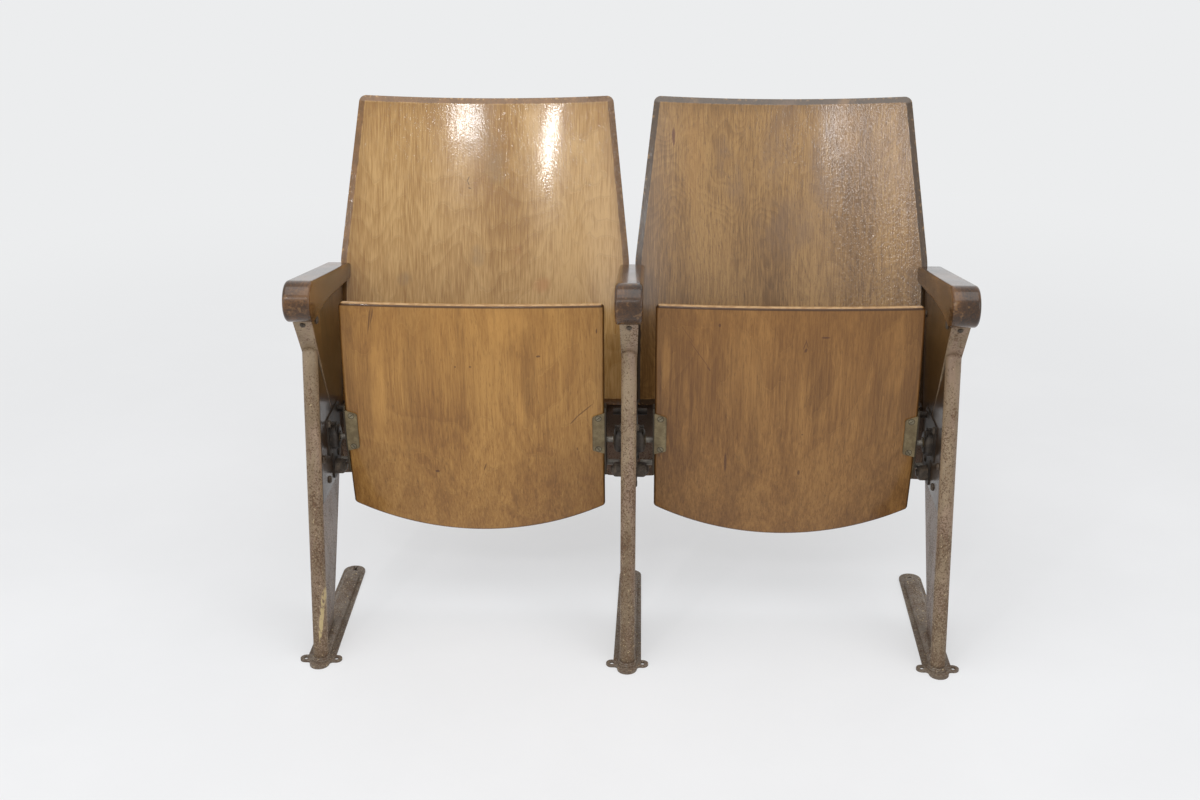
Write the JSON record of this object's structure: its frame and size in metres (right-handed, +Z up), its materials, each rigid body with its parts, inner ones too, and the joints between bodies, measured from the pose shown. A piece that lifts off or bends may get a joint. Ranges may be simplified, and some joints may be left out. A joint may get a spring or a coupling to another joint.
{
  "type": "tip-up auditorium seat",
  "caption": "Free-standing tip-up auditorium seating: lacquered plywood backs and self-folding seats hung between steel standards with wooden side boards and armrests.",
  "frame": {"origin": "on the floor, midway between the two front holes of the middle foot", "axes": "+X along the row to a viewer's right when facing the seats, +Y from the front feet towards the backs, +Z up"},
  "size_m": [1.111, 0.5419, 0.8651],
  "materials": {
    "enamel_frame": "worn semi-gloss enamel, chipped near the floor",
    "enamel_foot": "worn enamel with rust",
    "enamel_web": "satin enamel",
    "board_wood": "stained and lacquered",
    "arm_wood": "dark stain under glossy lacquer",
    "back_veneer_light": "golden veneer, glossy lacquer",
    "back_veneer_dark": "brown veneer, glossy lacquer",
    "seat_veneer": "orange-brown veneer, satin lacquer",
    "hinge_steel": "dull and oily",
    "plate_steel": "dull, darkened",
    "pin_steel": "worn bright",
    "spring_steel": "oiled",
    "bush_brass": "dull",
    "buffer_rubber": "matt black",
    "bolt_steel": "dull",
    "screw_steel": "dull"
  },
  "bodies": {
    "frame": {"armrest_left": "arm_wood", "armrest_middle": "arm_wood", "armrest_right": "arm_wood", "armrest_screws": "bolt_steel", "back_upright_left": "enamel_frame", "back_upright_middle": "enamel_frame", "back_upright_right": "enamel_frame", "backrest_left": "back_veneer_light", "backrest_right": "back_veneer_dark", "backrest_screws": "bolt_steel", "core_plate_left": "enamel_web", "core_plate_middle": "enamel_web", "core_plate_right": "enamel_web", "foot_left": "enamel_foot", "foot_middle": "enamel_foot", "foot_right": "enamel_foot", "front_boards_left": "board_wood", "front_boards_middle": "board_wood", "front_boards_right": "board_wood", "hinge_bracket_left_left": "hinge_steel", "hinge_bracket_left_right": "hinge_steel", "hinge_bracket_right_left": "hinge_steel", "hinge_bracket_right_right": "hinge_steel", "leg_tube_left": "enamel_frame", "leg_tube_middle": "enamel_frame", "leg_tube_right": "enamel_frame", "pivot_bushes": "bush_brass", "rear_boards_left": "board_wood", "rear_boards_middle": "board_wood", "rear_boards_right": "board_wood", "spring_left_left": "spring_steel", "spring_left_right": "spring_steel", "spring_right_left": "spring_steel", "spring_right_right": "spring_steel", "standard_bolts": "bolt_steel", "stop_buffers": "buffer_rubber", "strap_left": "enamel_frame", "strap_middle": "enamel_frame", "strap_right": "enamel_frame", "web_plate_left": "enamel_web", "web_plate_middle": "enamel_web", "web_plate_right": "enamel_web"},
    "seat_left": {"pivot_pin_left_left": "pin_steel", "pivot_pin_left_right": "pin_steel", "seat_bracket_left_left": "plate_steel", "seat_bracket_left_right": "plate_steel", "seat_panel_left": "seat_veneer", "seat_screws_left": "screw_steel", "stop_pins_left": "pin_steel"},
    "seat_right": {"pivot_pin_right_left": "pin_steel", "pivot_pin_right_right": "pin_steel", "seat_bracket_right_left": "plate_steel", "seat_bracket_right_right": "plate_steel", "seat_panel_right": "seat_veneer", "seat_screws_right": "screw_steel", "stop_pins_right": "pin_steel"}
  },
  "joints": [
    {"name": "seat_left_tip", "type": "hinge", "parent": "frame", "child": "seat_left", "pos_m": [-0.26, 0.158, 0.346], "axis": [1, 0, 0], "range_deg": [0, 80], "stiffness_Nm_per_rad": 1.25, "springref_deg": -28.65, "deforming": ["spring_left_left", "spring_left_right"]},
    {"name": "seat_right_tip", "type": "hinge", "parent": "frame", "child": "seat_right", "pos_m": [0.26, 0.158, 0.346], "axis": [1, 0, 0], "range_deg": [0, 80], "stiffness_Nm_per_rad": 1.25, "springref_deg": -28.65, "deforming": ["spring_right_left", "spring_right_right"]}
  ]
}
